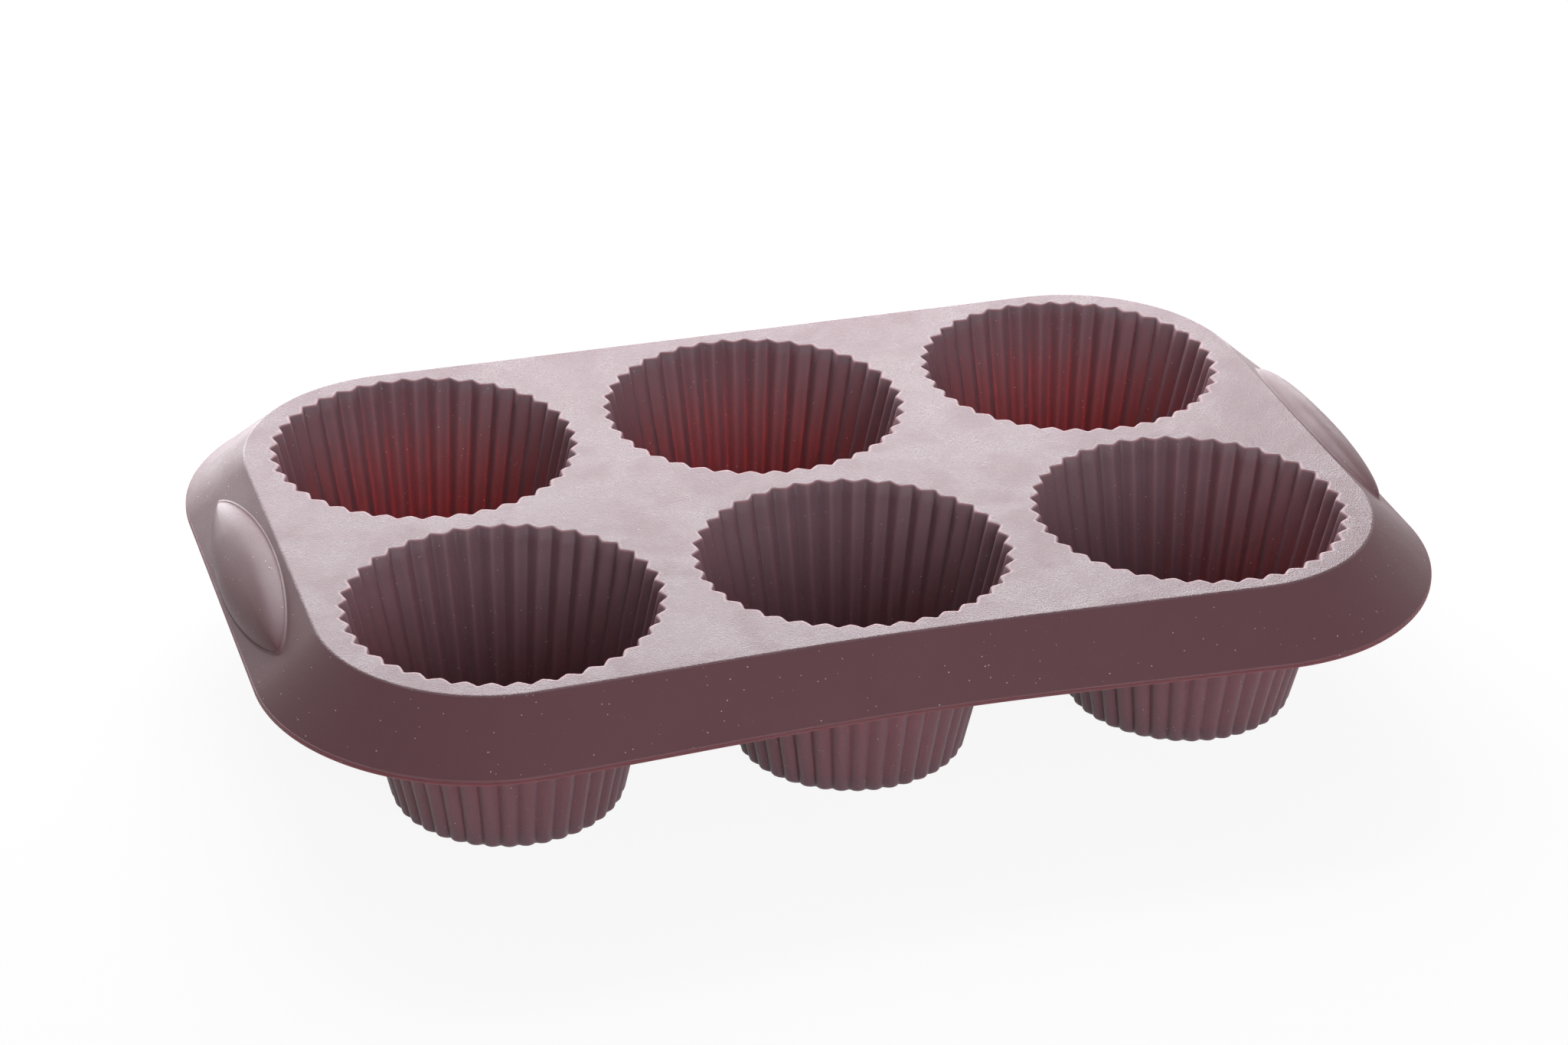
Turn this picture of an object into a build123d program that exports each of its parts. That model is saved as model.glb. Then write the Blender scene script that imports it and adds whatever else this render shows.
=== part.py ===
from build123d import *
import math
import os

# Six-cup fluted baking mould: one silicone moulding, split here into its natural zones, which
# meet face to face. Millimetres, +Z up, origin on the supporting surface below the deck's centre,
# +X along the long side.

# ---- driving dimensions ----
CUP_COLUMNS = 3
CUP_ROWS = 2
CUP_MOUTH_RADIUS = 35.0      # mean of the fluted mouth, at the deck's top face
CUP_FLOOR_RADIUS = 24.9      # mean of the fluted wall, at the floor's top face
CUP_GAP_X = 10.4             # between neighbouring mouths, along the long side
CUP_GAP_Y = 7.5              # between neighbouring mouths, across
END_MARGIN = 6.8             # mouth to deck edge at the two ends
SIDE_MARGIN = 4.4            # mouth to deck edge along the sides and round the corners
MOULD_HEIGHT = 47.5

FLUTES = 40
FLUTE_DEPTH = 1.3            # from a rib's nose to the valley beside it, at the mouth
CROWN_SHARE = 0.42           # part of a flute's width that its blunt crown takes
CUP_WALL = 1.1               # from a rib's nose to the groove behind it
CUP_FLOOR = 2.0
COLLAR_MARGIN = 0.5          # plain collar beyond the outer flute crests, flush with the deck
FOOT_CHAMFER = 1.3           # eased lower edge of the cup

DECK_THICKNESS = 2.0
DECK_EDGE_EASING = 0.6

SKIRT_DROP = 13.5            # deck top to the mould's lower outer edge
SKIRT_SPREAD = 14.0          # how far that edge stands out from the deck's edge
SKIRT_WALL = 1.6             # square to the slope
EDGE_BAND_HEIGHT = 1.3
EDGE_BAND_WIDTH = 2.8
EDGE_BAND_PROUD = 0.3        # the band stands this far out from the skirt's slope
EDGE_BAND_EASING = 0.35

GRIP_HEIGHT = 4.4            # of the dome that the grip follows, above the skirt's slope
GRIP_TOP_GAP = 2.0           # down the slope, from the deck's edge to the grip
GRIP_BOTTOM_GAP = 0.7        # down the slope, from the grip to the edge band
GRIP_END_GAP = 3.2           # from the grip's tip to the start of the rounded corner
GRIP_CORNERS = 48            # corners of each oval that the grip is built up from
GRIP_LEVELS = 7              # ovals between its base and its crest

# ---- derived sizes ----
PITCH_X = 2 * CUP_MOUTH_RADIUS + CUP_GAP_X
PITCH_Y = 2 * CUP_MOUTH_RADIUS + CUP_GAP_Y
DECK_LENGTH = (CUP_COLUMNS - 1) * PITCH_X + 2 * (CUP_MOUTH_RADIUS + END_MARGIN)
DECK_WIDTH = (CUP_ROWS - 1) * PITCH_Y + 2 * (CUP_MOUTH_RADIUS + SIDE_MARGIN)
DECK_CORNER_RADIUS = CUP_MOUTH_RADIUS + SIDE_MARGIN
DECK_UNDERSIDE = MOULD_HEIGHT - DECK_THICKNESS
BAND_BOTTOM = MOULD_HEIGHT - SKIRT_DROP
BAND_TOP = BAND_BOTTOM + EDGE_BAND_HEIGHT
SLOPE_SPREAD = SKIRT_SPREAD - EDGE_BAND_PROUD
SLOPE_DROP = SKIRT_DROP - EDGE_BAND_HEIGHT
SLOPE_LENGTH = math.hypot(SLOPE_SPREAD, SLOPE_DROP)
SLOPE_TAPER = math.degrees(math.atan2(SLOPE_SPREAD, SLOPE_DROP))
SKIRT_WALL_LEVEL = SKIRT_WALL * SLOPE_LENGTH / SLOPE_DROP
NOSE_RADIUS = CUP_MOUTH_RADIUS - FLUTE_DEPTH / 2     # ribs' noses, at the mouth
GROOVE_RADIUS = NOSE_RADIUS + CUP_WALL               # grooves behind them
COLLAR_RADIUS = GROOVE_RADIUS + FLUTE_DEPTH + COLLAR_MARGIN


def slope_offset(z):
    """How far the skirt's outer face stands out from the deck's edge at height z."""
    return SLOPE_SPREAD * (MOULD_HEIGHT - z) / SLOPE_DROP


def outline(z, offset):
    """The deck's rounded rectangle at height z, grown by offset on every side."""
    rounded = RectangleRounded(
        DECK_LENGTH + 2 * offset, DECK_WIDTH + 2 * offset, DECK_CORNER_RADIUS + offset
    )
    return Pos(0, 0, z) * rounded


def cup_centres():
    """Cup centres, front row first, each row from left to right."""
    for row in range(CUP_ROWS):
        for column in range(CUP_COLUMNS):
            x = (column - (CUP_COLUMNS - 1) / 2) * PITCH_X
            y = (row - (CUP_ROWS - 1) / 2) * PITCH_Y
            yield x, y


def polar(radius, angle):
    """A point on the drawing plane, from its radius and its angle in degrees."""
    return Vector(radius, 0).rotate(Axis.Z, angle)


def cavity_size(z):
    """The cavity's size at height z, as a share of its size at the mouth."""
    floor_size = CUP_FLOOR_RADIUS / CUP_MOUTH_RADIUS
    rise = (z - CUP_FLOOR) / (MOULD_HEIGHT - CUP_FLOOR)
    return floor_size + (1 - floor_size) * rise


def fluted_ring(z, size, crown_radius, root_radius, first_crown):
    """Corners of a ring of flutes: blunt crowns, and straight flanks that meet at sharp roots."""
    pitch = 360 / FLUTES
    half_crown = pitch * CROWN_SHARE / 2
    corners = []
    for flute in range(FLUTES):
        middle = first_crown + flute * pitch
        corners.append(polar(size * crown_radius, middle - half_crown))
        corners.append(polar(size * crown_radius, middle + half_crown))
        corners.append(polar(size * root_radius, middle + pitch / 2))
    return [corner + Vector(0, 0, z) for corner in corners]


def flat_faced_solid(rings):
    """Solid through rings of corners, whose faces are flat because each ring is the same shape resized."""
    faces = [make_face(Polyline(rings[0], close=True)), make_face(Polyline(rings[-1], close=True))]
    for below, above in zip(rings, rings[1:]):
        for corner in range(len(below)):
            following = (corner + 1) % len(below)
            side = (below[corner], below[following], above[following], above[corner])
            faces.append(make_face(Polyline(side, close=True)))
    return Solid(Shell(faces))


def cavity_ring(z):
    """Inside of the cup at height z: each crown is a rib's nose, pointing inwards."""
    return fluted_ring(z, cavity_size(z), NOSE_RADIUS, NOSE_RADIUS + FLUTE_DEPTH, 0)


def outer_ring(z, inset=0.0):
    """Outside of the cup at height z: each root is the groove behind a nose."""
    size = (cavity_size(z) * NOSE_RADIUS + CUP_WALL - inset) / GROOVE_RADIUS
    return fluted_ring(z, size, GROOVE_RADIUS + FLUTE_DEPTH, GROOVE_RADIUS, 180 / FLUTES)


def collar():
    """Plain ring that joins a cup to the deck, with one flat side behind each flute."""
    return Pos(0, 0, DECK_UNDERSIDE) * extrude(RegularPolygon(COLLAR_RADIUS, FLUTES), DECK_THICKNESS)


def cup():
    """One fluted cup with its flat floor and its collar."""
    foot = outer_ring(0, FOOT_CHAMFER)
    wall = flat_faced_solid([foot, outer_ring(FOOT_CHAMFER), outer_ring(MOULD_HEIGHT)])
    cavity = flat_faced_solid([cavity_ring(CUP_FLOOR), cavity_ring(MOULD_HEIGHT)])
    return wall + collar() - cavity


def deck_tiles():
    """Flat top sheet with a crisp eased edge, parted midway between the cups: one tile for each."""
    tiles = extrude(outline(MOULD_HEIGHT, 0), -DECK_THICKNESS, taper=-SLOPE_TAPER)
    tiles = chamfer(tiles.faces().sort_by(Axis.Z)[-1].edges(), DECK_EDGE_EASING)
    for column in range(1, CUP_COLUMNS):
        parting = Plane.YZ.offset((column - CUP_COLUMNS / 2) * PITCH_X)
        tiles = split(tiles, bisect_by=parting, keep=Keep.BOTH)
    for row in range(1, CUP_ROWS):
        parting = Plane.XZ.offset((CUP_ROWS / 2 - row) * PITCH_Y)
        tiles = split(tiles, bisect_by=parting, keep=Keep.BOTH)
    for x, y in cup_centres():
        tile = tiles.solids().sort_by_distance((x, y, DECK_UNDERSIDE))[0]
        yield tile - Pos(x, y, 0) * collar()


def skirt():
    """Sloping wall round the deck, of even thickness."""
    height = DECK_UNDERSIDE - BAND_TOP
    outer_edge = slope_offset(BAND_TOP)
    outside = extrude(outline(BAND_TOP, outer_edge), height, taper=SLOPE_TAPER)
    inside = extrude(outline(BAND_TOP, outer_edge - SKIRT_WALL_LEVEL), height, taper=SLOPE_TAPER)
    return outside - inside


def edge_band():
    """Narrow upright band that finishes the skirt's lower edge."""
    outside = extrude(outline(BAND_BOTTOM, SKIRT_SPREAD), EDGE_BAND_HEIGHT)
    outside = chamfer(outside.faces().sort_by(Axis.Z)[-1].edges(), EDGE_BAND_EASING)
    inside = extrude(outline(BAND_BOTTOM, SKIRT_SPREAD - EDGE_BAND_WIDTH), EDGE_BAND_HEIGHT)
    return outside - inside


def grip():
    """Oval pad swelling from the skirt's slope at the +X end, built up from ovals of corners."""
    half_length = DECK_WIDTH / 2 - DECK_CORNER_RADIUS - GRIP_END_GAP
    half_width = (SLOPE_LENGTH - GRIP_TOP_GAP - GRIP_BOTTOM_GAP) / 2
    middle = (GRIP_TOP_GAP + half_width) / SLOPE_LENGTH
    seat = Plane(
        origin=(DECK_LENGTH / 2 + middle * SLOPE_SPREAD, 0, MOULD_HEIGHT - middle * SLOPE_DROP),
        x_dir=(0, 1, 0),
        z_dir=(SLOPE_DROP, 0, SLOPE_SPREAD),
    )
    ovals = []
    for level in range(GRIP_LEVELS):
        around = polar(1, 90 * level / GRIP_LEVELS)
        oval = []
        for corner in range(GRIP_CORNERS):
            point = polar(around.X, 360 * corner / GRIP_CORNERS)
            oval.append(Vector(point.X * half_length, point.Y * half_width, around.Y * GRIP_HEIGHT))
        ovals.append(oval)
    return seat * flat_faced_solid(ovals)


def main():
    """Write one STEP file for each zone of the mould."""
    right_grip = grip()
    pieces = {
        "skirt": skirt(),
        "edge_band": edge_band(),
        "grip_right": right_grip,
        "grip_left": mirror(right_grip, about=Plane.YZ),
    }
    one_cup = cup()
    for number, ((x, y), tile) in enumerate(zip(cup_centres(), deck_tiles()), start=1):
        pieces[f"cup_{number}"] = Pos(x, y, 0) * one_cup
        pieces[f"deck_{number}"] = tile
    os.makedirs("parts", exist_ok=True)
    for name, shape in pieces.items():
        export_step(shape, f"parts/{name}.step")


main()
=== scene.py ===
import math

import bpy
import numpy as np
from mathutils import Matrix, Vector
from mathutils.geometry import delaunay_2d_cdt


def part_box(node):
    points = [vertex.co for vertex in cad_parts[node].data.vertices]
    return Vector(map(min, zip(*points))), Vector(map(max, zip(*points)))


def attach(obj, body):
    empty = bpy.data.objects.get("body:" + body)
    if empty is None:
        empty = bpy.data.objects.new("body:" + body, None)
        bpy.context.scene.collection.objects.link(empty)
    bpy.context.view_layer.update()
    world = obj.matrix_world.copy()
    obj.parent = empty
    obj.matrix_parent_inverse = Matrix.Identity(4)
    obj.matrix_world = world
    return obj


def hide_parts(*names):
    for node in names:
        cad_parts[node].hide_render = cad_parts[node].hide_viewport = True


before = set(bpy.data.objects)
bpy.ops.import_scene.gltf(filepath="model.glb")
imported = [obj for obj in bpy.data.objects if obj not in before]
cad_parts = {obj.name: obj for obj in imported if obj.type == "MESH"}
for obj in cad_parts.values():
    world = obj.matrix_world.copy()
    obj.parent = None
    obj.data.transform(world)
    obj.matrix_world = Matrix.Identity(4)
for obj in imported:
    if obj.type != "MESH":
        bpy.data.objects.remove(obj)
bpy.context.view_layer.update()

MM = 0.001

# ---- sizes of the mould, in metres, read from the frame where it holds them ----
CUP_NAMES = sorted(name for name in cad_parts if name.startswith("cup_"))
DECK_NAMES = sorted(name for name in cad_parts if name.startswith("deck"))
deck_low, deck_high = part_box(DECK_NAMES[0])
band_low, band_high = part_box("edge_band")
grip_low, grip_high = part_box("grip_right")
TOP = deck_high.z
UNDERSIDE = deck_low.z
BAND_TOP = band_high.z
BAND_BOTTOM = band_low.z
SPREAD = 14 * MM                    # the skirt's lower edge stands this far out from the deck
SLOPE_SPREAD = 13.7 * MM            # the same for the end of its slope, where the band starts
SLOPE_DROP = TOP - BAND_TOP
SLOPE_LENGTH = math.hypot(SLOPE_SPREAD, SLOPE_DROP)
SLOPE_ANGLE = math.degrees(math.atan2(SLOPE_DROP, SLOPE_SPREAD))
SKIRT_DROP = TOP - BAND_BOTTOM
DECK_HALF_LENGTH = band_high.x - SPREAD
DECK_HALF_WIDTH = band_high.y - SPREAD
DECK_CORNER = 39.4 * MM
DECK_EDGE_ROUND = 0.8 * MM
FLAT_STRIP = 0.15 * MM              # flat face kept on each side of that rounded edge
SKIRT_WALL = 2.4 * MM               # measured level, not square to the slope
BAND_WIDTH = 2.2 * MM
BAND_ROUND = 0.3 * MM
PARTING_LINE = 0.22 * MM            # width of the fine line round the band

FLUTES = 40
MOUTH_RADIUS = 35 * MM              # mean of the fluted mouth
FLOOR_RADIUS = 24.9 * MM            # mean of the fluted wall at the floor
FLOOR_LEVEL = 2 * MM
FLUTE_DEPTH = 1.4 * MM
FLANK_FLATNESS = 0.09               # how flat a flute's flanks are between nose and valley
INNER_POINT = 0.10                  # how much sharper the valleys are than the noses, inside
OUTER_POINT = -0.22                 # outside the crests are broad and the grooves narrow
CUP_WALL = 1.0 * MM
LIP_WIDTH = 0.75 * MM               # the lip rolls over wider than it is deep
LIP_DEPTH = 0.45 * MM
SMOOTH_HIGHLIGHT_DEPTH = 0.1 * MM             # down to here the lip is fully smooth and carries the full painted highlight
SEAM_MARGIN = 0.2 * MM              # flat strip between the lip and the seam with the deck
SEAM_RADIUS = MOUTH_RADIUS + LIP_WIDTH + SEAM_MARGIN
FLOOR_ROUND = 2.2 * MM              # inside, between the floor and the wall
FLOOR_ROUND_REACH = 1.02            # that round reaches this many times as far out as a true arc
FLOOR_FLUTES = 0.25                 # share of the flutes' depth left where the floor starts
FOOT_ROUND = 1.7 * MM               # outside, between the wall and the foot
FOOT_FADE = 0.55                    # share of the flutes' depth lost round the foot
UNDER_ROUND = 1.0 * MM              # outside, between the wall and the deck's underside

GRIP_HEIGHT = 4.4 * MM
GRIP_TOP_GAP = 2.0 * MM             # down the slope from the deck's edge to the grip
GRIP_BOTTOM_GAP = 0.7 * MM          # down the slope from the grip to the band
GRIP_SUNK = 0.3 * MM                # how far the pad's base reaches into the skirt
GRIP_POINT = 1.4                    # above 1, the oval's two ends draw to a point
GRIP_CROWN = 2.3                    # above 2, the crown is flatter than an oval's
GRIP_FLANK = 0.62                   # above 0.5, the flank is less steep at the edge than an oval's
# size as a share of the oval's, and height: the crisp edge, eased into the slope
GRIP_EDGE = [(1.0, 0.35 * MM), (1.015, 0.1 * MM), (1.04, 0.0)]

# ---- how the soft mould stands ----
BOW = 0.040                         # the long front side gives inwards by this share
BOW_REACH = 0.9                     # share of the deck's half length that it gives over
SKIRT_BOW = 0.28                    # the skirt's lower edge gives by this much more
CUP_BOW = -0.7                      # the cups' feet by this much less
FOOT_LEAN = 0.3 * MM                # the end cups' feet lean in by this much
CORNER_FULLNESS = 0.5 * MM          # the skirt's lower corners stand this much fuller than round
OVAL = 0.12 * MM                    # each cup is out of round by this much, as an oval
THREE_LOBED = 0.08 * MM             # and by this much in three lobes
CUP_SHIFT = 1.7                     # radians of phase between one cup's oval wave and the next one's
LOBE_SHIFT = 2.3                    # the three-lobed wave's phase shifts this many times as much

# ---- how fine the meshes are ----
AROUND_FLUTE = 12                   # points round one flute
CORNER_POINTS = 41                  # points round one corner of the deck
STRAIGHT_STEP = 2 * MM              # between points along the deck's straight sides
MIDDLE_SHARES = (0.15, 0.4, 0.7, 0.93)    # sizes of the rings on a cup's flat floor and foot
FLOOR_ROUND_RINGS = 6               # between a cup's floor and its wall
WALL_RINGS = 15                     # up a cup's wall
EDGE_POINTS = 6                     # round the deck's edge, in section
BAND_POINTS = 5                     # round each edge of the band, in section
SLOPE_RINGS = 12                    # down the skirt
GRIP_RINGS = 16                     # from a grip's crown to its edge
GRIP_STEP = 2.5                     # degrees between points round a grip
SAME_POINT = 1e-8                   # metres within which two corners of the sheet are one


# ---- small mesh tools ----
def smooth_mesh(name, vertices, faces, sharp_angle=38):
    """A shaded object from vertices and faces, with creases only where two faces turn sharply."""
    mesh = bpy.data.meshes.new(name)
    mesh.from_pydata([tuple(v) for v in vertices], [], [tuple(f) for f in faces])
    mesh.validate()
    for polygon in mesh.polygons:
        polygon.use_smooth = True
    mesh.set_sharp_from_angle(angle=math.radians(sharp_angle))
    mesh.update()
    obj = bpy.data.objects.new(name, mesh)
    bpy.context.scene.collection.objects.link(obj)
    return obj


def bridge(first, second, count):
    """Quads between two closed rings of count points that start at the given vertex numbers."""
    here = np.arange(count)
    after = (here + 1) % count
    corners = [first + here, first + after, second + after, second + here]
    return np.stack(corners, axis=1).tolist()


def stack_rings(rings, loop=False):
    """Vertices and faces of a tube through rings of one point count; a loop joins last to first."""
    count = len(rings[0])
    faces = []
    pairs = len(rings) if loop else len(rings) - 1
    for index in range(pairs):
        following = (index + 1) % len(rings)
        faces += bridge(index * count, following * count, count)
    return np.concatenate(rings), faces


def cap(vertices, faces, ring_start, count, centre, flip):
    """Closes a ring with a fan about a centre point."""
    middle = len(vertices)
    vertices = np.vstack([vertices, centre])
    here = np.arange(count)
    after = (here + 1) % count
    a, b = (after, here) if flip else (here, after)
    fan = np.stack([ring_start + a, ring_start + b, np.full(count, middle)], axis=1)
    return vertices, faces + fan.tolist()


def give_way(vertices, depth=TOP, change=0.0):
    """Bends points as the soft mould stands: its long front side bows in at the middle.

    The bow changes by the given share of itself from the deck's top down to the given depth.
    """
    bent = np.array(vertices, float)
    x, y, z = bent.T
    along = np.cos(np.clip(x / (DECK_HALF_LENGTH * BOW_REACH), -1, 1) * math.pi / 2) ** 2
    lower = 1 + change * (TOP - z) / depth
    bent[:, 1] = y + BOW * along * lower * np.clip(-y, 0, None)
    return bent


# ---- outline of the deck and what is swept round it ----
def outline_path():
    """Points that the deck's outline turns about, and the outward direction at each, all round."""
    cx = DECK_HALF_LENGTH - DECK_CORNER
    cy = DECK_HALF_WIDTH - DECK_CORNER
    corners = [(cx, cy, 0), (-cx, cy, 90), (-cx, -cy, 180), (cx, -cy, 270)]
    centres, outward = [], []
    for index, (x, y, start) in enumerate(corners):
        for angle in np.radians(np.linspace(start, start + 90, CORNER_POINTS)):
            centres.append((x, y))
            outward.append((math.cos(angle), math.sin(angle)))
        straight = math.radians(start + 90)
        next_x, next_y, _ = corners[(index + 1) % len(corners)]
        run = math.hypot(next_x - x, next_y - y)
        for share in np.linspace(0, 1, int(run / STRAIGHT_STEP))[1:-1]:
            centres.append((x + (next_x - x) * share, y + (next_y - y) * share))
            outward.append((math.cos(straight), math.sin(straight)))
    return np.array(centres), np.array(outward)


PATH_CENTRES, PATH_OUTWARD = outline_path()


def outline_ring(offset, z):
    """The deck's outline grown by offset, at height z, and fuller at its corners further out."""
    towards_corner = 2 * np.abs(PATH_OUTWARD.prod(axis=1))
    fuller = CORNER_FULLNESS * max(offset, 0) / SPREAD * towards_corner
    flat = PATH_CENTRES + PATH_OUTWARD * (DECK_CORNER + offset + fuller)[:, None]
    return np.column_stack([flat, np.full(len(flat), z)])


def slope_point(down, proud=0.0):
    """Offset and height of a point down the skirt's slope, standing proud of it."""
    offset = (SLOPE_SPREAD * down + SLOPE_DROP * proud) / SLOPE_LENGTH
    height = (SLOPE_SPREAD * proud - SLOPE_DROP * down) / SLOPE_LENGTH
    return offset, TOP + height


def arc_points(centre, radius, start, end, steps):
    """Offset and height points along an arc, angles in degrees from level outwards."""
    angles = np.radians(np.linspace(start, end, steps))
    return [(centre[0] + radius * math.cos(a), centre[1] + radius * math.sin(a)) for a in angles]


# ---- fluted cups ----
def cup_centre(name):
    """The cup's place on the deck."""
    low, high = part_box(name)
    return (low.x + high.x) / 2, (low.y + high.y) / 2


CUP_PLACES = [cup_centre(name) for name in CUP_NAMES]
FLUTE_ANGLES = np.arange(FLUTES * AROUND_FLUTE) * (2 * math.pi / (FLUTES * AROUND_FLUTE))


def out_of_round(cup_number, angles):
    """A moulded cup is never quite round: two low waves, different in each cup."""
    shift = CUP_SHIFT * cup_number
    oval = OVAL * np.sin(2 * angles + shift)
    return oval + THREE_LOBED * np.sin(3 * angles + LOBE_SHIFT * shift)


def flute_reach(cup_number, radius, depth, pointed, angles):
    """From the cup's axis to a fluted wall; a positive pointed sharpens the outward tips."""
    wave = FLUTES * angles
    shape = -np.cos(wave) - FLANK_FLATNESS * np.cos(3 * wave) + pointed * np.cos(2 * wave)
    return radius + depth / 2 * shape + out_of_round(cup_number, angles) * (radius / MOUTH_RADIUS)


def flute_ring(cup_number, radius, depth, z, pointed):
    """One fluted ring about the cup's axis."""
    reach = flute_reach(cup_number, radius, depth, pointed, FLUTE_ANGLES)
    level = np.full(len(FLUTE_ANGLES), z)
    return np.column_stack([reach * np.cos(FLUTE_ANGLES), reach * np.sin(FLUTE_ANGLES), level])


def seam_ring(cup_number, z):
    """Where the cup's lip meets the deck."""
    return flute_ring(cup_number, SEAM_RADIUS, FLUTE_DEPTH, z, INNER_POINT)


def wall_radius(z):
    """Mean inner radius of the tapering wall at height z."""
    return FLOOR_RADIUS + (MOUTH_RADIUS - FLOOR_RADIUS) * (z - FLOOR_LEVEL) / (TOP - FLOOR_LEVEL)


def wall_depth(z):
    """Flute depth at height z: the flutes narrow and shallow with the taper."""
    return FLUTE_DEPTH * wall_radius(z) / MOUTH_RADIUS


def inside_profile():
    """Radius, flute depth and height of each ring from the middle of the floor up over the lip."""
    profile = [((FLOOR_RADIUS - FLOOR_ROUND) * share, 0.0, FLOOR_LEVEL) for share in MIDDLE_SHARES]
    lean = math.atan2(MOUTH_RADIUS - FLOOR_RADIUS, TOP - FLOOR_LEVEL)
    for angle in np.linspace(0, math.pi / 2 - lean, FLOOR_ROUND_RINGS):
        z = FLOOR_LEVEL + FLOOR_ROUND * (1 - math.cos(angle))
        radius = FLOOR_RADIUS - FLOOR_ROUND + FLOOR_ROUND * math.sin(angle) * FLOOR_ROUND_REACH
        fluted = FLOOR_FLUTES + (1 - FLOOR_FLUTES) * math.sin(angle)
        profile.append((radius, wall_depth(z) * fluted, z))
    for z in np.linspace(FLOOR_LEVEL + FLOOR_ROUND, TOP - LIP_DEPTH, WALL_RINGS):
        profile.append((wall_radius(z), wall_depth(z), z))
    for angle in np.radians([15, 30, 45, 60, 75, 90]):
        radius = wall_radius(TOP) + LIP_WIDTH * (1 - math.cos(angle))
        profile.append((radius, FLUTE_DEPTH, TOP - LIP_DEPTH * (1 - math.sin(angle))))
    return profile


def outside_profile():
    """Radius, flute depth and height of each ring from the deck's underside to the foot's middle."""
    profile = []
    for angle in np.radians([90, 65, 40, 15]):
        reach = UNDER_ROUND * (1 - math.cos(angle))
        z = UNDERSIDE - UNDER_ROUND * (1 - math.sin(angle))
        profile.append((wall_radius(z) + CUP_WALL + reach, wall_depth(z), z))
    just_below_round = UNDERSIDE - UNDER_ROUND * 1.2
    for z in np.linspace(just_below_round, FOOT_ROUND, WALL_RINGS):
        profile.append((wall_radius(z) + CUP_WALL, wall_depth(z), z))
    for angle in np.radians([18, 36, 54, 72, 90]):
        inset = FOOT_ROUND * (1 - math.cos(angle))
        z = FOOT_ROUND * (1 - math.sin(angle))
        fluted = 1 - FOOT_FADE * math.sin(angle) ** 3
        profile.append((wall_radius(z) + CUP_WALL - inset, wall_depth(z) * fluted, z))
    for share in reversed(MIDDLE_SHARES):
        profile.append(((FLOOR_RADIUS + CUP_WALL - FOOT_ROUND) * share, 0.0, 0.0))
    return profile


def build_cup(number):
    """One cup as a closed shell."""
    x, y = CUP_PLACES[number]
    rings = [flute_ring(number, *ring, INNER_POINT) for ring in inside_profile()]
    rings += [seam_ring(number, TOP), seam_ring(number, UNDERSIDE)]
    rings += [flute_ring(number, *ring, OUTER_POINT) for ring in outside_profile()]
    count = len(FLUTE_ANGLES)
    last = (len(rings) - 1) * count
    vertices, faces = stack_rings(rings)
    vertices, faces = cap(vertices, faces, 0, count, (0, 0, FLOOR_LEVEL), flip=True)
    vertices, faces = cap(vertices, faces, last, count, (0, 0, 0), flip=False)
    end = np.sign(round(x, 3))
    vertices[:, 0] += x - end * FOOT_LEAN * (TOP - vertices[:, 2]) / TOP
    vertices[:, 1] += y
    return smooth_mesh(f"cup_wall_{number + 1}", give_way(vertices, TOP, CUP_BOW), faces)


# ---- deck ----
def inside_a_mouth(points):
    """True for each point of the deck's plane that lies inside a cup's seam."""
    inside = np.zeros(len(points), bool)
    for number, centre in enumerate(CUP_PLACES):
        away = points - centre
        angles = np.arctan2(away[:, 1], away[:, 0])
        seam = flute_reach(number, SEAM_RADIUS, FLUTE_DEPTH, INNER_POINT, angles)
        inside |= np.hypot(away[:, 0], away[:, 1]) < seam
    return inside


def sheet_triangles(edge, mouths):
    """Triangles of a flat sheet between its edge and the mouths, by number in the stacked rings."""
    rings = [edge, *mouths]
    points = [Vector((p[0], p[1])) for ring in rings for p in ring]
    borders = []
    start = 0
    for ring in rings:
        count = len(ring)
        borders += [(start + i, start + (i + 1) % count) for i in range(count)]
        start += count
    found, _, triangles, origins, _, _ = delaunay_2d_cdt(points, borders, [], 0, SAME_POINT)
    triangles = np.array(triangles)
    middles = np.array(found)[triangles].mean(axis=1)
    kept = triangles[~inside_a_mouth(middles)]
    return [[origins[corner][0] for corner in triangle] for triangle in kept]


def deck_edge_profile():
    """Offset and height down the deck's edge: flat, rounded, then the slope to the underside."""
    tangent = DECK_EDGE_ROUND * math.tan(math.radians(SLOPE_ANGLE / 2))
    round_centre = (-tangent, TOP - DECK_EDGE_ROUND)
    rounded = arc_points(round_centre, DECK_EDGE_ROUND, 90, 90 - SLOPE_ANGLE, EDGE_POINTS)
    slope_start = slope_point(tangent + FLAT_STRIP)
    underside_offset = SLOPE_SPREAD * (TOP - UNDERSIDE) / SLOPE_DROP
    return [(-tangent - FLAT_STRIP, TOP), *rounded, slope_start, (underside_offset, UNDERSIDE)]


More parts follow.
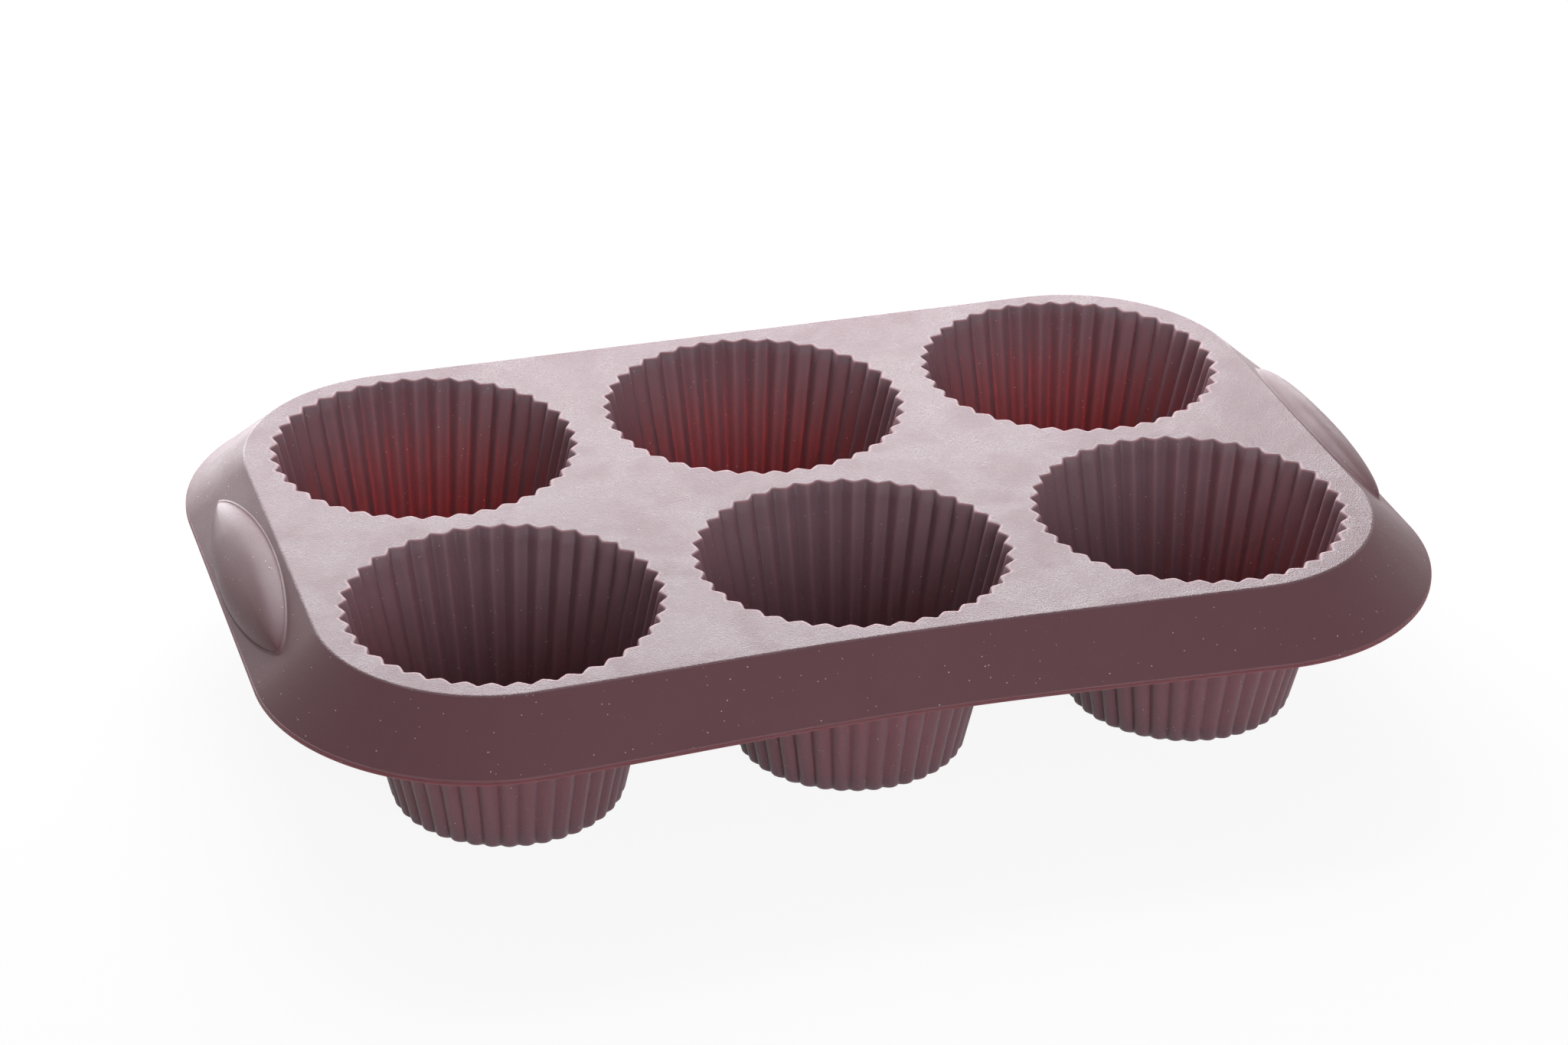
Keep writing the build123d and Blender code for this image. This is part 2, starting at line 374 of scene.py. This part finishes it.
def build_deck():
    """The top sheet: flat above and below, a rounded edge, and a fluted hole for each cup."""
    edge_rings = [outline_ring(offset, z) for offset, z in deck_edge_profile()]
    upper_edge, *between, lower_edge = edge_rings
    count = len(upper_edge)
    mouths_above = []
    mouths_below = []
    for number, (x, y) in enumerate(CUP_PLACES):
        centre = np.array([x, y, 0])
        mouths_above.append(seam_ring(number, TOP) + centre)
        mouths_below.append(seam_ring(number, UNDERSIDE) + centre)
    above = sheet_triangles(upper_edge, mouths_above)
    below = sheet_triangles(lower_edge, mouths_below)
    vertices = np.concatenate([upper_edge, *mouths_above, lower_edge, *mouths_below, *between])
    sheet_size = count + sum(len(ring) for ring in mouths_above)
    faces = [list(triangle) for triangle in above]
    faces += [[sheet_size + corner for corner in reversed(triangle)] for triangle in below]
    between_starts = [2 * sheet_size + index * count for index in range(len(between))]
    starts = [0, *between_starts, sheet_size]
    for upper, lower in zip(starts, starts[1:]):
        faces += bridge(lower, upper, count)
    slope_faces = range(len(faces) - count, len(faces))
    start = count
    for ring in mouths_above:
        faces += bridge(start, sheet_size + start, len(ring))
        start += len(ring)
    sheet = smooth_mesh("deck_sheet", give_way(vertices, SKIRT_DROP, SKIRT_BOW), faces)
    for face in slope_faces:
        sheet.data.polygons[face].material_index = 1    # the skirt's finish, which starts here
    return sheet


# ---- skirt, band and grips ----
def ring_piece(name, profile):
    """A closed section swept round the deck's outline."""
    vertices, faces = stack_rings([outline_ring(offset, z) for offset, z in profile], loop=True)
    return smooth_mesh(name, give_way(vertices, SKIRT_DROP, SKIRT_BOW), faces)


def build_skirt():
    """The sloping wall, from the deck's underside down to the band."""
    slope = SLOPE_SPREAD / SLOPE_DROP
    heights = np.linspace(UNDERSIDE, BAND_TOP, SLOPE_RINGS)
    outside = [(slope * (TOP - z), z) for z in heights]
    inside = [(offset - SKIRT_WALL, z) for offset, z in reversed(outside)]
    return ring_piece("skirt_wall", outside + inside)


def build_band():
    """The upright lower edge, with the fine line where the two halves of the mould met."""
    half_line = PARTING_LINE / 2
    middle = (BAND_TOP + BAND_BOTTOM) / 2
    inner = SPREAD - BAND_WIDTH
    rounded = SPREAD - BAND_ROUND
    top_centre = (rounded, BAND_TOP - BAND_ROUND)
    low_centre = (rounded, BAND_BOTTOM + BAND_ROUND)
    top_round = arc_points(top_centre, BAND_ROUND, 90, 0, BAND_POINTS)
    low_round = arc_points(low_centre, BAND_ROUND, 0, -90, BAND_POINTS)
    groove = [
        (SPREAD, middle + half_line),
        (SPREAD - half_line, middle),
        (SPREAD, middle - half_line),
    ]
    profile = [(inner, BAND_TOP), *top_round, *groove, *low_round, (inner, BAND_BOTTOM)]
    return ring_piece("edge_strip", profile)


def grip_section():
    """Share of the oval's size and height above the slope, from the crown out to the sunk base."""
    section = []
    for share in np.sin(np.radians(np.linspace(6, 84, GRIP_RINGS))):
        section.append((share, GRIP_HEIGHT * (1 - share ** GRIP_CROWN) ** GRIP_FLANK))
    base_share, _ = GRIP_EDGE[-1]
    return section + GRIP_EDGE + [(base_share, -GRIP_SUNK)]


def build_grip(name, side):
    """An oval pad on an end slope, swelling steeply from a crisp edge to a gentle crown."""
    half_length = (grip_high.y - grip_low.y) / 2
    half_width = (SLOPE_LENGTH - GRIP_TOP_GAP - GRIP_BOTTOM_GAP) / 2
    middle = GRIP_TOP_GAP + half_width

    def on_slope(down, proud, along=0):
        """A point of the pad, from how far it lies down the slope, proud of it and along it."""
        offset, z = slope_point(down, proud)
        return side * (DECK_HALF_LENGTH + offset), -side * along, z

    rings = []
    for share, height in grip_section():
        points = []
        for angle in np.radians(np.arange(0, 360, GRIP_STEP)):
            pointed = math.copysign(abs(math.sin(angle)) ** GRIP_POINT, math.sin(angle))
            down = middle + half_width * share * pointed
            points.append(on_slope(down, height, half_length * share * math.cos(angle)))
        rings.append(np.array(points))
    count = len(rings[0])
    last = (len(rings) - 1) * count
    vertices, faces = stack_rings(rings)
    vertices, faces = cap(vertices, faces, 0, count, on_slope(middle, GRIP_HEIGHT), flip=False)
    vertices, faces = cap(vertices, faces, last, count, on_slope(middle, -GRIP_SUNK), flip=True)
    return smooth_mesh(name, give_way(vertices), faces, sharp_angle=60)


cups = {name: build_cup(number) for number, name in enumerate(CUP_NAMES)}
deck = build_deck()
skirt = build_skirt()
band = build_band()
grips = {
    "grip_left": build_grip("grip_pad_left", -1),
    "grip_right": build_grip("grip_pad_right", 1),
}
pieces = [*cups.values(), deck, skirt, band, *grips.values()]
cup_nodes = [[name] for name in cups]
grip_nodes = [[name] for name in grips]
replaced = [*cup_nodes, DECK_NAMES, ["skirt"], ["edge_band"], *grip_nodes]
for piece, nodes in zip(pieces, replaced):
    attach(piece, "root")
    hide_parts(*nodes)


# ---- shader tools ----
def node(tree, kind, inputs=None, **settings):
    """Adds a shader node; inputs holds plain values, or output sockets to link from."""
    made = tree.nodes.new(kind)
    for name, value in settings.items():
        setattr(made, name, value)
    for name, value in (inputs or {}).items():
        socket = made.inputs[name]
        if isinstance(value, bpy.types.NodeSocket):
            tree.links.new(value, socket)
        else:
            socket.default_value = value
    return made


def effect_group(name, sockets_in, sockets_out):
    """An empty node group with float inputs and outputs, its entry and its exit."""
    group = bpy.data.node_groups.new(name, "ShaderNodeTree")
    new_socket = group.interface.new_socket
    for socket_name, value in sockets_in.items():
        socket = new_socket(socket_name, in_out="INPUT", socket_type="NodeSocketFloat")
        socket.default_value = value
    for socket_name in sockets_out:
        new_socket(socket_name, in_out="OUTPUT", socket_type="NodeSocketFloat")
    return group, group.nodes.new("NodeGroupInput"), group.nodes.new("NodeGroupOutput")


def math_node(tree, operation, first, second):
    """Output of one sum on two values or sockets."""
    return node(tree, "ShaderNodeMath", {0: first, 1: second}, operation=operation).outputs[0]


def tinted(tree, amount, colour, tint):
    """A colour that goes over to the tint by the given amount."""
    values = {0: amount, 6: colour, 7: tint}
    return node(tree, "ShaderNodeMix", values, data_type="RGBA").outputs[2]


def ramp(tree, value, low, high):
    """0 up to low, 1 from high on, smooth between; the other way round where low is the larger."""
    values = {"Value": value, "From Min": low, "From Max": high}
    return node(tree, "ShaderNodeMapRange", values, interpolation_type="SMOOTHSTEP").outputs[0]


def mould_place(tree):
    """Where a point lies on the mould, in metres."""
    return node(tree, "ShaderNodeTexCoord").outputs["Object"]


def height_above_feet(tree, where):
    """How high a point lies above the plane that the cups' feet stand on."""
    return node(tree, "ShaderNodeSeparateXYZ", {0: where}).outputs[2]


def noise(tree, where, scale, detail, roughness=0.5, distortion=0.0):
    """Value of a soft noise about 0.5, scale in waves per metre."""
    values = {"Vector": where, "Scale": scale, "Detail": detail}
    values |= {"Roughness": roughness, "Distortion": distortion}
    return node(tree, "ShaderNodeTexNoise", values).outputs[0]


# ---- effects ----
GRAIN_TOPS = (0.38, 0.66)           # values of the fine grain between which its tops set in
WIDE_PATCHES = 0.75                 # share of the bloom's patches that is wide, the rest narrow
BARE_PATCHES = (0.64, 0.36)         # values of the patches between which the film goes bare
SMALLEST_SPECK = 0.35               # as a share of the specks' size; the largest is 1 more


def make_mould_grain():
    """The spark-eroded mould's print: fine pimples, a softer orange peel and a slow waviness."""
    strengths = {"Fine": 1.0, "Peel": 1.0, "Wave": 1.0}
    tree, entry, leave = effect_group("mould grain", strengths, ["Height", "Speckle"])
    where = mould_place(tree)
    fine = noise(tree, where, scale=2900, detail=1.0)
    peel = noise(tree, where, scale=620, detail=1.0)
    wave = noise(tree, where, scale=45, detail=0.0)
    height = math_node(tree, "MULTIPLY", fine, entry.outputs["Fine"])
    for layer, strength in ((peel, "Peel"), (wave, "Wave")):
        layer_height = math_node(tree, "MULTIPLY", layer, entry.outputs[strength])
        height = math_node(tree, "ADD", height, layer_height)
    tree.links.new(height, leave.inputs["Height"])
    tree.links.new(ramp(tree, fine, *GRAIN_TOPS), leave.inputs["Speckle"])
    return tree


def make_film_and_haze():
    """The cloudy film that silicone sweats out in use, barer in patches, denser towards High; on the
    cups, graded up towards the mouth, it is painted haze that makes their upper walls paler.
    """
    settings = {"Patchy": 1.0, "Low": -0.02, "High": -0.01}
    tree, entry, leave = effect_group("silicone film and painted haze", settings, ["Cloud"])
    where = mould_place(tree)
    wide = noise(tree, where, scale=42, detail=3.0, roughness=0.62, distortion=0.6)
    narrow = noise(tree, where, scale=240, detail=2.0, roughness=0.6)
    wide_share = math_node(tree, "MULTIPLY", wide, WIDE_PATCHES)
    narrow_share = math_node(tree, "MULTIPLY", narrow, 1 - WIDE_PATCHES)
    both = math_node(tree, "ADD", wide_share, narrow_share)
    bare = math_node(tree, "MULTIPLY", ramp(tree, both, *BARE_PATCHES), entry.outputs["Patchy"])
    level = height_above_feet(tree, where)
    reached = ramp(tree, level, entry.outputs["Low"], entry.outputs["High"])
    covered = math_node(tree, "SUBTRACT", 1.0, bare)
    tree.links.new(math_node(tree, "MULTIPLY", covered, reached), leave.inputs["Cloud"])
    return tree


def make_smooth_lip_highlight():
    """Where the cup's lip rolls over into the deck: smoother, and tinted pale as a painted highlight.
    """
    heights = {"Low": TOP - LIP_DEPTH, "High": TOP - SMOOTH_HIGHLIGHT_DEPTH}
    tree, entry, leave = effect_group("smooth lip with painted highlight", heights, ["Rubbed"])
    level = height_above_feet(tree, mould_place(tree))
    smooth_highlight = ramp(tree, level, entry.outputs["Low"], entry.outputs["High"])
    tree.links.new(smooth_highlight, leave.inputs["Rubbed"])
    return tree


def make_flour():
    """Specks of flour and lint: small balls in a Share of the cells, seen where the skin cuts them."""
    settings = {"Cells": 620.0, "Share": 0.08, "Size": 0.068}
    tree, entry, leave = effect_group("flour specks", settings, ["Specks"])
    where = mould_place(tree)
    spacing = {"Vector": where, "Scale": entry.outputs["Cells"], "Randomness": 1.0}
    cells = node(tree, "ShaderNodeTexVoronoi", spacing)
    chance = node(tree, "ShaderNodeSeparateColor", {0: cells.outputs["Color"]})
    chosen = math_node(tree, "LESS_THAN", chance.outputs[0], entry.outputs["Share"])
    varied = math_node(tree, "ADD", chance.outputs[1], SMALLEST_SPECK)
    size = math_node(tree, "MULTIPLY", entry.outputs["Size"], varied)
    near = math_node(tree, "LESS_THAN", cells.outputs["Distance"], size)
    tree.links.new(math_node(tree, "MULTIPLY", chosen, near), leave.inputs["Specks"])
    return tree


MOULD_GRAIN = make_mould_grain()
FILM_AND_HAZE = make_film_and_haze()
FLOUR = make_flour()
SMOOTH_LIP_HIGHLIGHT = make_smooth_lip_highlight()

# ---- finishes ----
BODY = (0.088, 0.029, 0.036, 1)             # deep chocolate red, right through
THIN_BODY_PAINTED_GLOW = (0.133, 0.060, 0.072, 1)        # the same made lighter and redder, a painted glow for light let through the thin wall, beside the real subsurface light
BAND_BODY_PAINTED_GLOW = (0.140, 0.042, 0.051, 1)        # the thin lower edge, painted a little redder for light shining through it, beside the real subsurface light
BLOOM_TINT = (0.170, 0.100, 0.113, 1)
# lighter tint for the cups, the colour of their painted haze
PAINTED_HAZE_TINT = (0.190, 0.120, 0.140, 1)
FLOUR_TINT = (0.48, 0.40, 0.39, 1)
# painted highlight on the cups' rolled lips
LIP_HIGHLIGHT_TINT = (0.25, 0.140, 0.155, 1)

ALL_OVER = (-0.02, -0.01)                   # heights between which the bloom sets in, in metres
# painted haze and light: the cups' walls grow paler towards the mouth, standing in for light on their
# upper parts
PAINTED_HAZE_REACH = (-0.025, 0.046)
SPECKLE_TINT = 0.35                         # share of the bloom's tint that the grain's tops take
SPECKLE_GLOSS = 0.07                        # how much less rough they are
LIP_GLOSS = 0.14                            # how much less rough the rubbed lip is
SILICONE_IOR = 1.41
GLOW_DEPTH = 3.3 * MM                       # how far red light travels inside the silicone
GLOW_BY_COLOUR = (1.0, 0.48, 0.44)          # how far red, green and blue do, as shares of that


def silicone(name, body, film_and_haze_tint, roughness, grain, relief, film_and_haze_share, flour_share,
             reach=ALL_OVER, patchy=0.6, clouding=0.12, see_through=0.0, highlighted_lip=False):
    """Matte moulded silicone.

    grain holds the strengths of the print's fine, peel and wave layers, and relief their height.
    The film's share is how much it tints within its reach, on the cups as painted haze, and clouding
    how much it roughens.
    """
    material = bpy.data.materials.new(name)
    material.use_nodes = True
    tree = material.node_tree
    shader = tree.nodes["Principled BSDF"]
    strengths = dict(zip(("Fine", "Peel", "Wave"), grain))
    mould_grain = node(tree, "ShaderNodeGroup", strengths, node_tree=MOULD_GRAIN)
    low, high = reach
    film_and_haze_node = node(tree, "ShaderNodeGroup", {"Low": low, "High": high, "Patchy": patchy},
                node_tree=FILM_AND_HAZE)
    flour = node(tree, "ShaderNodeGroup", {"Share": flour_share}, node_tree=FLOUR)
    film_and_haze_amount = film_and_haze_node.outputs["Cloud"]
    speckle = mould_grain.outputs["Speckle"]

    colour = tinted(tree, math_node(tree, "MULTIPLY", film_and_haze_amount, film_and_haze_share), body, film_and_haze_tint)
    speckled = math_node(tree, "MULTIPLY", speckle, SPECKLE_TINT * film_and_haze_share)
    colour = tinted(tree, speckled, colour, film_and_haze_tint)
    colour = tinted(tree, flour.outputs["Specks"], colour, FLOUR_TINT)
    rough = math_node(tree, "ADD", roughness, math_node(tree, "MULTIPLY", film_and_haze_amount, clouding))
    polished = math_node(tree, "MULTIPLY", speckle, SPECKLE_GLOSS)
    rough = math_node(tree, "SUBTRACT", rough, polished)
    # painted highlight: the lip is tinted pale where it rolls over, beside its lower roughness
    if highlighted_lip:
        lip_highlight = node(tree, "ShaderNodeGroup", node_tree=SMOOTH_LIP_HIGHLIGHT).outputs["Rubbed"]
        colour = tinted(tree, lip_highlight, colour, LIP_HIGHLIGHT_TINT)
        rough = math_node(tree, "SUBTRACT", rough, math_node(tree, "MULTIPLY", lip_highlight, LIP_GLOSS))
    bump = {"Height": mould_grain.outputs["Height"], "Distance": relief, "Strength": 1.0}
    normal = node(tree, "ShaderNodeBump", bump).outputs[0]

    tree.links.new(colour, shader.inputs["Base Color"])
    tree.links.new(rough, shader.inputs["Roughness"])
    tree.links.new(normal, shader.inputs["Normal"])
    shader.inputs["IOR"].default_value = SILICONE_IOR
    shader.inputs["Subsurface Weight"].default_value = see_through
    shader.inputs["Subsurface Radius"].default_value = GLOW_BY_COLOUR
    shader.inputs["Subsurface Scale"].default_value = GLOW_DEPTH
    return material


DECK_FINISH = silicone(
    "deck silicone", BODY, BLOOM_TINT, roughness=0.19, grain=(1.6, 0.5, 3.0),
    relief=0.085 * MM, film_and_haze_share=0.6, flour_share=0.20, clouding=0.26)
SKIRT_FINISH = silicone(
    "skirt silicone", BODY, BLOOM_TINT, roughness=0.40, grain=(0.5, 0.5, 3.0),
    relief=0.03 * MM, film_and_haze_share=0.06, flour_share=0.80)
# the cups' lighter body, their paler upper walls and their pale lip are painted light
CUP_FINISH = silicone(
    "cup silicone", THIN_BODY_PAINTED_GLOW, PAINTED_HAZE_TINT, roughness=0.46, grain=(0.35, 0.3, 1.0),
    relief=0.025 * MM, film_and_haze_share=0.55, flour_share=0.85, reach=PAINTED_HAZE_REACH, patchy=0.12,
    see_through=0.88, highlighted_lip=True)
BAND_FINISH = silicone(
    "band silicone", BAND_BODY_PAINTED_GLOW, BLOOM_TINT, roughness=0.44, grain=(0.35, 0.3, 1.0),
    relief=0.03 * MM, film_and_haze_share=0.1, flour_share=0.40, see_through=1.0)
deck.data.materials.append(DECK_FINISH)
for piece in (deck, skirt, *grips.values()):
    piece.data.materials.append(SKIRT_FINISH)
for piece in cups.values():
    piece.data.materials.append(CUP_FINISH)
band.data.materials.append(BAND_FINISH)

# ---- floor, light and camera ----
WHITE = (1, 1, 1, 1)
TABLE_COLOUR = (0.86, 0.86, 0.86, 1)
TABLE_ROUGHNESS = 0.9
TABLE_HALF = 4                              # half a side of the table top, in metres
TABLE_GLOW = 0.90                           # share of plain white in what is seen of the table
PLAIN_LEVEL = 0.26                          # strength of the surroundings where they shed light

STUDIO_WHITE = (1.0, 0.98, 1.015)
# name, place, point it faces, width, height, brightness
SOFT_BOXES = [
    ("back panel", (0.06, 0.37, 0.36), (0.06, 0.0, 0.03), 0.62, 0.34, 6.4),
    ("low backdrop", (0.15, 0.50, 0.09), (0.15, 0.0, 0.04), 0.76, 0.14, 5.2),
    ("low strip", (0.06, 0.24, 0.022), (0.06, 0.0, 0.018), 0.56, 0.036, 2.6),
    ("corner card", (-0.17, 0.19, 0.07), (-0.12, 0.06, 0.04), 0.10, 0.08, 2.5),
    ("front box", (0.08, -1.25, 0.52), (0.0, 0.0, 0.03), 0.8, 0.65, 5.7),
]

VIEW_AZIMUTH = math.radians(17.73)          # round to the left of the front
VIEW_ELEVATION = math.radians(28.24)
VIEW_ROLL = math.radians(0.914)
VIEW_DISTANCE = 0.9259
VIEW_AIM = Vector((-0.0108, -0.0204, TOP))
SENSOR_WIDTH = 36                           # in mm, as the lens is
LENS = 94.04


def seen_directly(tree):
    """1 for what the camera, a reflection or a clear piece looks at, 0 for what sheds light."""
    path = node(tree, "ShaderNodeLightPath").outputs
    seen = math_node(tree, "MAXIMUM", path["Is Camera Ray"], path["Is Glossy Ray"])
    return math_node(tree, "MAXIMUM", seen, path["Is Transmission Ray"])


def build_floor():
    """A wide white table top that keeps a faint shadow of the mould."""
    mesh = bpy.data.meshes.new("table_top")
    corners = [(x * TABLE_HALF, y * TABLE_HALF, 0) for x, y in ((-1, -1), (1, -1), (1, 1), (-1, 1))]
    mesh.from_pydata(corners, [], [(0, 1, 2, 3)])
    table = bpy.data.objects.new("table_top", mesh)
    bpy.context.scene.collection.objects.link(table)
    material = bpy.data.materials.new("white table")
    material.use_nodes = True
    tree = material.node_tree
    shader = tree.nodes["Principled BSDF"]
    shader.inputs["Base Color"].default_value = TABLE_COLOUR
    shader.inputs["Roughness"].default_value = TABLE_ROUGHNESS
    glow = node(tree, "ShaderNodeEmission", {"Color": WHITE, "Strength": 1.0})
    amount = math_node(tree, "MULTIPLY", seen_directly(tree), TABLE_GLOW)
    blend = node(tree, "ShaderNodeMixShader", {0: amount, 1: shader.outputs[0], 2: glow.outputs[0]})
    tree.links.new(blend.outputs[0], tree.nodes["Material Output"].inputs["Surface"])
    mesh.materials.append(material)


def build_world():
    """White surroundings, at a plain level where they only shed light."""
    world = bpy.data.worlds.new("white studio")
    bpy.context.scene.world = world
    world.use_nodes = True
    tree = world.node_tree
    level = math_node(tree, "MAXIMUM", seen_directly(tree), PLAIN_LEVEL)
    sky = tree.nodes["Background"]
    sky.inputs["Color"].default_value = WHITE
    tree.links.new(level, sky.inputs["Strength"])


def soft_box(name, stands_at, faces_to, width, height, brightness):
    """A rectangular soft light, hidden from the camera, that shines evenly over its face."""
    light = bpy.data.lights.new(name, "AREA")
    light.color = STUDIO_WHITE
    light.shape = "RECTANGLE"
    light.size = width
    light.size_y = height
    light.energy = brightness * math.pi * width * height
    lamp = bpy.data.objects.new(name, light)
    aim = Vector(faces_to) - Vector(stands_at)
    turn = aim.to_track_quat("-Z", "Y").to_matrix().to_4x4()
    lamp.matrix_world = Matrix.Translation(stands_at) @ turn
    lamp.visible_camera = False
    bpy.context.scene.collection.objects.link(lamp)


def build_camera():
    """The camera, looking down on the deck from the front and a little to its left."""
    camera_data = bpy.data.cameras.new("camera")
    camera_data.sensor_width = SENSOR_WIDTH
    camera_data.lens = LENS
    camera = bpy.data.objects.new("camera", camera_data)
    level = math.cos(VIEW_ELEVATION)
    away = Vector((
        -math.sin(VIEW_AZIMUTH) * level,
        -math.cos(VIEW_AZIMUTH) * level,
        math.sin(VIEW_ELEVATION),
    ))
    stand = Matrix.Translation(VIEW_AIM + away * VIEW_DISTANCE)
    turn = (-away).to_track_quat("-Z", "Y").to_matrix().to_4x4()
    camera.matrix_world = stand @ turn @ Matrix.Rotation(VIEW_ROLL, 4, "Z")
    bpy.context.scene.collection.objects.link(camera)
    bpy.context.scene.camera = camera


build_floor()
build_world()
for box in SOFT_BOXES:
    soft_box(*box)
build_camera()
bpy.context.scene.view_settings.view_transform = "Standard"
